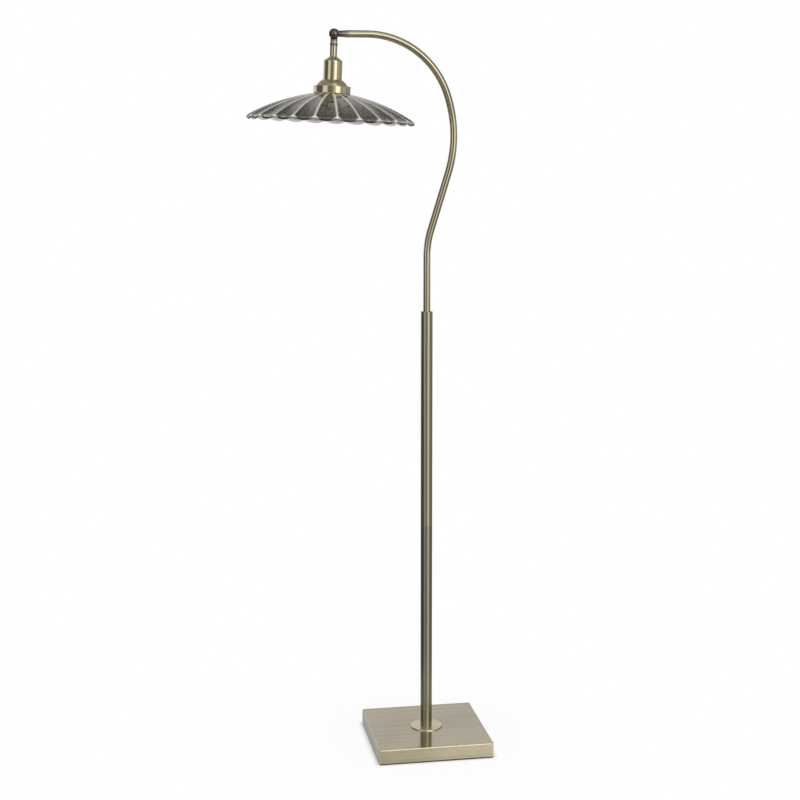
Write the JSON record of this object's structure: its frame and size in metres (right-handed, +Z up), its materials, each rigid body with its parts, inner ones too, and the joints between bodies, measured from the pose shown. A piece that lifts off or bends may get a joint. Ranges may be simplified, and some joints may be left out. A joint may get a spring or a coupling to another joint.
{
  "type": "task floor lamp",
  "caption": "Floor lamp with a square weighted base, slim tube column, swan neck and a tilting head with a fluted smoked glass shade.",
  "frame": {"origin": "middle of the base pad's underside, on the floor under the column", "axes": "+Z up along the column, the arm and head reach towards -X, base sides along X and Y"},
  "size_m": [0.5004, 0.3492, 1.5402],
  "materials": {
    "antique_brass": "brushed antique brass plate",
    "dark_bronze": "polished dark bronze plate",
    "bright_brass": "bare rolled brass",
    "plated_steel": "zinc plate",
    "cast_iron": "as cast",
    "pad_foam": "matt foam sheet",
    "black_rubber": "matt moulded",
    "clear_silicone": "satin",
    "nylon": "satin",
    "phenolic": "moulded gloss",
    "smoked_glass": "smoked fluted glass"
  },
  "bodies": {
    "stand": {"base_cover": "antique_brass", "foot_flange": "antique_brass", "lower_tube": "antique_brass", "upper_tube": "antique_brass", "cap_bush": "antique_brass", "swan_neck": "antique_brass", "knuckle_arm": "dark_bronze", "base_stud": "plated_steel", "base_washer": "plated_steel", "base_nut": "plated_steel", "column_foot_plug": "plated_steel", "joiner_nut": "plated_steel", "joiner_spigot": "plated_steel", "pivot_screw": "plated_steel", "spring_washer": "plated_steel", "base_weight": "cast_iron", "base_pad": "pad_foam", "cable_grommet": "black_rubber", "friction_washer": "nylon"},
    "head": {"knuckle_head": "dark_bronze", "stem_ring": "dark_bronze", "stem_tube": "antique_brass", "stem_nipple": "plated_steel", "holder_cap": "antique_brass", "nipple_nut": "plated_steel", "shade_cap": "antique_brass", "shade_gasket": "clear_silicone", "glass_shade": "smoked_glass", "ring_gasket": "clear_silicone", "shade_ring": "antique_brass", "lampholder_body": "phenolic", "lampholder_sleeve": "antique_brass", "screw_shell": "bright_brass", "centre_contact": "bright_brass"}
  },
  "joints": [
    {"name": "head_tilt", "type": "hinge", "parent": "stand", "child": "head", "pos_m": [-0.1929, 0, 1.52947], "axis": [0, 1, 0], "range_deg": [-15, 70]}
  ]
}
